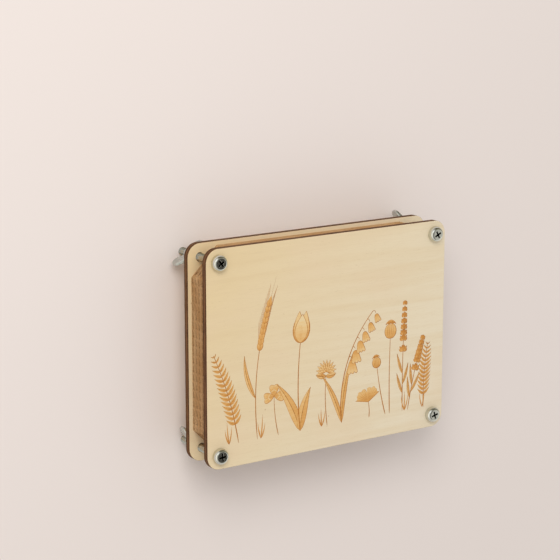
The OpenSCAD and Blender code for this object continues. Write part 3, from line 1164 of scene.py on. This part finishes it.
# %% The meadow
GROUND = -63
fern((-79, GROUND), 100, 70, 14)
tuft(-87, GROUND, ((30, 12), (10, 17), (-18, 13)))
clover((-45, GROUND), 104, 30, -14, 9.5)
barley((-63, GROUND), 96, 99, -24, 9)
tuft(-60, GROUND, ((22, 13), (-8, 18), (-30, 12)))
tulip((-26, GROUND), 96, 66, -12, 24)
clover_flower((-2, GROUND), 98, 38, -12, 14)
tuft(-7, GROUND, ((28, 11), (4, 14), (-26, 12)))
ginkgo((36, GROUND), 84, 12, 18, 13)
bluebell((11, GROUND), 97, 86, -52, 6)
poppy_pod((51, GROUND), 106, 38, -8, 8)
poppy_pod((55, GROUND), 92, 58, -4, 11)
lavender((72, GROUND), 80, 56, -8, 7)
lavender((67, GROUND), 91, 84, -4)
tuft(69, GROUND, ((26, 12), (0, 15), (-26, 13)))
fern((87, GROUND), 92, 50, -12, 13, 11)
tuft(86, GROUND, ((24, 12), (-14, 14)))
print(f"{len(drawing)} burnt outlines, {sum(len(outline) for outline, *_ in drawing)} points")

# %% [markdown]
# ## Cutting the drawing into the veneer
#
# All outlines lie on one flat sheet, and they cross each other. A constrained
# triangulation splits the sheet along every line and tells, for each triangle, which
# shapes it lies in. The last drawn of these is the one that shows. That is far safer
# here than hundreds of boolean cuts, whose tools would all touch each other.

# %% Triangulate the sheet along all outlines
def board_outline(inset):
    """Points of the board's outline, this far inside its edge, in millimetres."""
    radius, found = CORNER_R - inset, []
    for x, y, start in ((1, 1, 0), (-1, 1, 90), (-1, -1, 180), (1, -1, 270)):
        centre = (x * (BOARD_L / 2 - CORNER_R), y * (BOARD_W / 2 - CORNER_R))
        found += arc(centre, (radius, radius), start, start + 90, CORNER_STEPS)
    return found


RIM_STEPS = ((0.0, 0.28), (0.1, 0.1), (0.3, 0.0))
INSIDE_ONLY, TOLERANCE, LAST_STEP = 1, 1e-4, 360 / HOLE_STEPS
loops = [board_outline(inset) for inset, _ in RIM_STEPS]
loops += [arc(axis, (HOLE_R, HOLE_R), 0, 360 - LAST_STEP, HOLE_STEPS - 1) for axis in AXES]
plain = len(loops)
loops += [outline for outline, *_ in drawing]
points, faces = [], []
for loop in loops:
    area = sum(a[0] * b[1] - b[0] * a[1] for a, b in zip(loop, loop[1:] + loop[:1]))
    faces.append(list(range(len(points), len(points) + len(loop))))
    points += loop if area > 0 else loop[::-1]
corners = [Vector(p) for p in points]
places, _, triangles, _, _, inside = delaunay_2d_cdt(corners, [], faces, INSIDE_ONLY, TOLERANCE, True)
print(f"{len(points)} points on {len(loops)} outlines became {len(triangles)} triangles")

# %% [markdown]
# The triangles become the veneer's top face. Each keeps the number of the shape that
# shows there. The points of the outer rim are lowered a little for the eased edge,
# and the triangles in the four screw holes are left out.

# %% The veneer's top face
def rim_key(x, y):
    """A place as two rounded numbers, by which a point of the rim is found again."""
    return round(x, 2), round(y, 2)


shown, kept = [], []
for face, owners in zip(triangles, inside):
    if not any(len(RIM_STEPS) <= n < plain for n in owners):
        kept.append(list(face))
        shown.append(max([n - plain for n in owners if n >= plain], default=-1))
rim_drop = {rim_key(*p): drop for loop, (_, drop) in zip(loops, RIM_STEPS) for p in loop}
spots = [(p.x * MM, p.y * MM, (FACE_Z - rim_drop.get(rim_key(p.x, p.y), 0.0)) * MM) for p in places]
mesh = bpy.data.meshes.new("plywood_face_engraved")
mesh.from_pydata(spots, [], kept)
veneer = bpy.data.objects.new("plywood_face_engraved", mesh)
bpy.context.scene.collection.objects.link(veneer)
mesh.attributes.new("shape_number", "INT", "FACE").data.foreach_set("value", shown)
mesh.polygons.foreach_set("material_index", [0 if n < 0 else 1 for n in shown])
for material in (basswood, engraved, charred):
    mesh.materials.append(material)
print(f"{sum(n >= 0 for n in shown)} of {len(shown)} triangles are burnt")

# %% [markdown]
# In edit mode the burnt faces are pushed down by 0.15 mm, which leaves small upright
# walls round them. Then the open rims, outside and in the holes, are drawn down to
# the foot of the veneer and flattened there, and the underside is filled.

# %% Engrave, and close the veneer
BURN_DEPTH = 0.15
open_edit(veneer)
pick("faces", lambda f: f.material_index == 1)
extrude(0, 0, -BURN_DEPTH)
pick("edges", lambda e: e.is_boundary)
extrude(0, 0, 0)
bpy.ops.transform.resize(value=(1, 1, 0), center_override=(0, 0, (FACE_Z - VENEER) * MM))
bpy.ops.mesh.fill(use_beauty=False)
open_edges = pick("edges", lambda e: not e.is_manifold)
close_edit()
print(f"veneer has {len(mesh.polygons)} faces and {open_edges} open edges")

# %% [markdown]
# Last, the strength of the burn is written on each face's corners. Along a shape it
# runs evenly from the tone at its start to the tone at its end, so a leaf can be dark
# at its foot and pale at its tip. The walls of the engraving are dark, because the
# beam turns round there.

# %% Strength of the burn
UPRIGHT, RIM_ZONE, DRILLED, WALL_TONE = 0.5, 3, 0.3, 0.9


def tone_at(shape, x, y):
    """The strength of a shape's burn at a place on the board."""
    _, (first, last), (ax, ay), (bx, by) = shape
    dx, dy = bx - ax, by - ay
    share = ((x - ax) * dx + (y - ay) * dy) / max(dx * dx + dy * dy, 1e-6)
    return first + (last - first) * min(1.0, max(0.0, share))


tones = []
numbers = [item.value for item in mesh.attributes["shape_number"].data]
for face, n in zip(mesh.polygons, numbers):
    upright = abs(face.normal.z) < UPRIGHT
    middle = face.center / MM
    if upright and abs(middle.x) < BOARD_L / 2 - RIM_ZONE and abs(middle.y) < BOARD_W / 2 - RIM_ZONE:
        face.material_index = 2 if near_hole(middle, DRILLED) else 1
        tones += [WALL_TONE] * face.loop_total
        continue
    if upright:
        face.material_index = 2
    for corner in face.loop_indices:
        co = mesh.vertices[mesh.loops[corner].vertex_index].co / MM
        tones.append(tone_at(drawing[n], co.x, co.y) if face.material_index == 1 and n >= 0 else 0.0)
mesh.attributes.remove(mesh.attributes["shape_number"])
mesh.attributes.new("burn", "FLOAT", "CORNER").data.foreach_set("value", tones)
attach(veneer, "front")
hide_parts("front_board")
print(f"burn from {min(tones):.2f} to {max(tones):.2f} on {len(tones)} corners")

# %% [markdown]
# A viewer without these shader nodes gets the veneer's colours as a picture, which is
# laid on through a UV map. An automatic map gives half of that picture to the glued
# underside. So the veneer brings its own map, named `OFBake`: the face and its
# engraved grounds lie flat, as seen from above, across the whole width, and the strip
# below them holds the walls and, small, the underside.

# %% Lay the veneer out flat
GAP, UNWRAP_ANGLE, ISLAND_GAP = 0.003, math.radians(66), 0.002


def fit_into(corners, low, high):
    """Scales and moves these corners of the map into a rectangle."""
    spots = [layer.data[c].uv for c in corners]
    for k in (0, 1):
        least, most = min(s[k] for s in spots), max(s[k] for s in spots)
        for spot in spots:
            spot[k] = low[k] + (spot[k] - least) / (most - least) * (high[k] - low[k])


mesh.uv_layers.new(name="OFBake")
open_edit(veneer)
pick("faces", lambda f: abs(f.normal.z) < UPRIGHT)
bpy.ops.uv.smart_project(angle_limit=UNWRAP_ANGLE, island_margin=ISLAND_GAP, scale_to_bounds=True)
close_edit()
layer = mesh.uv_layers["OFBake"]
upper, walls, under = [], [], []
for face in mesh.polygons:
    kind = upper if face.normal.z >= UPRIGHT else under if face.normal.z <= -UPRIGHT else walls
    kind += face.loop_indices
for c in upper + under:
    co = mesh.vertices[mesh.loops[c].vertex_index].co
    layer.data[c].uv = (co.x, co.y)
upper_h = (1 - 2 * GAP) * BOARD_W / BOARD_L
strip_top = 1 - upper_h - 3 * GAP
under_w = strip_top * BOARD_L / BOARD_W
fit_into(upper, (GAP, 1 - GAP - upper_h), (1 - GAP, 1 - GAP))
fit_into(under, (GAP, GAP), (under_w, strip_top))
fit_into(walls, (under_w + 2 * GAP, GAP), (1 - GAP, strip_top))
print(f"map: {len(upper)} corners seen from above, {len(walls)} of walls, {len(under)} underneath")

# %% [markdown]
# ## The leaves of the pack
#
# Five corrugated cards let air through the press, and between each pair of cards lie
# two blotting papers, which take a flower between them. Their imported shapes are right
# as they are, down to each flute of the cards, so they only get their finish.

# %% Cards and papers
for start, material in (("card_", kraft), ("blotting_paper_", blotting)):
    leaves = [node for name, node in sorted(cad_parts.items()) if name.startswith(start)]
    for node in leaves:
        node.data.materials.clear()
        node.data.materials.append(material)
    print(f"{len(leaves)} pieces of {material.name}")

# %% [markdown]
# ## Floor, light and camera
#
# The press lies on a plain pale floor. The floor is a large grid, and it isn't part
# of the object. Its colour is that of warm white card stock. Away from the press the
# camera and the metal see an even tone instead of the lit card, and the world behind
# it has the same tone, so the floor runs out into the background without a horizon.
# From below, the floor is clear, so that the back of the press can be looked at.

# %% Floor
BACKGROUND, CARD_STOCK = linear("#ECE3DE"), linear("#EADFD9")
FADE_FROM, FADE_TO, FLOOR_SIZE = 0.24, 0.9, 8
start_clean()
bpy.ops.mesh.primitive_grid_add(x_subdivisions=8, y_subdivisions=8, size=FLOOR_SIZE)
floor = bpy.context.object
floor.name = "floor"
floor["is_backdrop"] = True
card_stock, tree, shader, place = new_finish(
    "floor_white_card_stock", Base_Color=CARD_STOCK, Roughness=0.9, Specular_IOR_Level=0.1
)
distance = add_node(tree, "VectorMath", {"operation": "LENGTH"}, {0: place})
far = add_node(tree, "MapRange", {"interpolation_type": "SMOOTHSTEP"}, {
    "Value": distance.outputs["Value"], "From Min": FADE_FROM, "From Max": FADE_TO,
})
path = add_node(tree, "LightPath")
looked_at = add_node(tree, "Math", {"operation": "MAXIMUM"}, {
    0: path.outputs["Is Camera Ray"], 1: path.outputs["Is Glossy Ray"],
})
fading = add_node(tree, "Math", {"operation": "MULTIPLY"}, {
    0: far.outputs[0], 1: looked_at.outputs[0],
})
even = add_node(tree, "Emission", inputs={"Color": BACKGROUND, "Strength": 1.0})
faded = add_node(tree, "MixShader", inputs={
    0: fading.outputs[0], 1: shader.outputs[0], 2: even.outputs[0],
})
from_below = add_node(tree, "NewGeometry").outputs["Backfacing"]
clear = add_node(tree, "BsdfTransparent")
one_sided = add_node(tree, "MixShader", inputs={
    0: from_below, 1: faded.outputs[0], 2: clear.outputs[0],
})
tree.links.new(one_sided.outputs[0], tree.nodes["Material Output"].inputs["Surface"])
floor.data.materials.append(card_stock)
print("floor", tuple(round(x, 2) for x in floor.dimensions))

# %% [markdown]
# The room is one big soft light, so colours come out as written. What glossy metal
# mirrors is drawn with care, because a screw head shows little else. The walls at the
# two ends of the boards are bright and those along their sides dimmer, all get duller
# towards the floor and the ceiling, and a bright panel stands where the key light is.
# The corner past the board's upper right is dim and gives the rounded rims a dark
# side. One dark card hangs high above the board, to its right. The flat heads on the
# left of the board mirror it and look dark, and those on the right just miss it and
# mirror the ceiling.

# %% World
KEY_PLACE = (-0.75, 0.95, 1.15)
ROOM = (
    (0.0, "#8D8881"), (0.1, "#C4C0B9"), (0.3, "#F1ECE2"), (0.56, "#D8D5CE"), (0.76, "#B1AFA9"),
    (1.0, "#787672"),
)
PATCHES = (
    # direction, cosines at which the patch starts and is full, colour
    (Vector((0.7, 0.7, 0)), 0.3, 0.75, "#6E6853"),
    (Vector(KEY_PLACE).normalized(), 0.93, 0.975, "#FFFFFF"),
    (Vector((0.35, -0.25, 0.90)).normalized(), 0.9641, 0.9728, "#3E3B37"),
)
ENDS_OVER_SIDES, GLARE, ROOM_LIGHT = (0.45, -0.45, 0), 1.3, 0.7
world = bpy.data.worlds.new("light_tent")
bpy.context.scene.world = world
world.use_nodes = True
tree = world.node_tree
tree.nodes.clear()
path = add_node(tree, "LightPath")
sight = add_node(tree, "TexCoord").outputs["Generated"]
height = add_node(tree, "SeparateXYZ", inputs={"Vector": sight}).outputs["Z"]
walls = add_node(tree, "ValToRGB", inputs={"Fac": height})
room = fill_ramp(walls, ROOM)
for direction, start, full, colour in PATCHES:
    towards = add_node(tree, "VectorMath", {"operation": "DOT_PRODUCT"}, {0: sight, 1: direction})
    share = add_node(tree, "MapRange", {"interpolation_type": "SMOOTHSTEP"}, {
        "Value": towards.outputs["Value"], "From Min": start, "From Max": full,
    })
    patched = add_node(tree, "Mix", {"data_type": "RGBA"}, {
        0: share.outputs[0], 6: room, 7: linear(colour),
    })
    room = patched.outputs[2]
squared = add_node(tree, "VectorMath", {"operation": "MULTIPLY"}, {0: sight, 1: sight})
ends = add_node(tree, "VectorMath", {"operation": "DOT_PRODUCT"}, {
    0: squared.outputs[0], 1: ENDS_OVER_SIDES,
})
glare = add_node(tree, "Math", {"operation": "ADD"}, {0: ends.outputs["Value"], 1: GLARE})
mirrored = add_node(tree, "Background", inputs={"Color": room, "Strength": glare.outputs[0]})
seen = add_node(tree, "Background", inputs={"Color": BACKGROUND, "Strength": 1.0})
light = add_node(tree, "Background", inputs={"Color": linear("#FBFAF8"), "Strength": ROOM_LIGHT})
glossy = add_node(tree, "Math", {"operation": "MAXIMUM"}, {
    0: path.outputs["Is Glossy Ray"], 1: path.outputs["Is Transmission Ray"],
})
for_gloss = add_node(tree, "MixShader", inputs={
    0: glossy.outputs[0], 1: light.outputs[0], 2: mirrored.outputs[0],
})
for_camera = add_node(tree, "MixShader", inputs={
    0: path.outputs["Is Camera Ray"], 1: for_gloss.outputs[0], 2: seen.outputs[0],
})
add_node(tree, "OutputWorld", inputs={"Surface": for_camera.outputs[0]})
print("world", len(tree.nodes), "nodes")

# %% [markdown]
# One large soft box stands on the side of the board's upper left corner. It gives
# the shadows their direction, down and to the right as one looks at the board. Metal
# doesn't mirror the lamp itself, but the panel that the world has in its place.

# %% Key light
KEY_AIM, KEY_SIZE, KEY_WATTS = (0, 0, 0.03), 0.85, 12.5
start_clean()
bpy.ops.object.light_add(type="AREA", location=KEY_PLACE)
key = bpy.context.object
key.name = "key_soft_box"
key.data.shape, key.data.size, key.data.energy = "SQUARE", KEY_SIZE, KEY_WATTS
key.rotation_euler = (Vector(KEY_AIM) - Vector(KEY_PLACE)).to_track_quat("-Z", "Y").to_euler()
key.visible_glossy = False
print(key.name, key.data.energy, "W")

# %% [markdown]
# The camera stands where the photographer's did, worked out from the four corners of
# the board in the picture: up and to the left, rolled so that the board's upper edge
# points up. Its axes are set as the columns of its matrix.

# %% Camera and view
EYE = (-0.7674, 0.3406, FACE_Z * MM + 1.09)
AHEAD, UP = Vector((0.5402, -0.2157, -0.8135)), Vector((0.1193, 0.9763, -0.1797))
LENS, SENSOR = 121.3, 36
ahead_way = AHEAD.normalized()
up_way = (UP - UP.dot(ahead_way) * ahead_way).normalized()
axes = Matrix((ahead_way.cross(up_way), up_way, -ahead_way)).transposed().to_4x4()
camera = bpy.data.objects.new("camera", bpy.data.cameras.new("camera"))
bpy.context.scene.collection.objects.link(camera)
camera.matrix_world = Matrix.Translation(EYE) @ axes
camera.data.lens, camera.data.sensor_width = LENS, SENSOR
bpy.context.scene.camera = camera
bpy.context.scene.view_settings.view_transform = "Standard"
print("camera at", tuple(round(x, 3) for x in camera.location))

# %% Sizes and finish
start_clean()
low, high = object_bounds()
print("dressed press", [round((b - a) / MM, 1) for a, b in zip(low, high)], "mm")
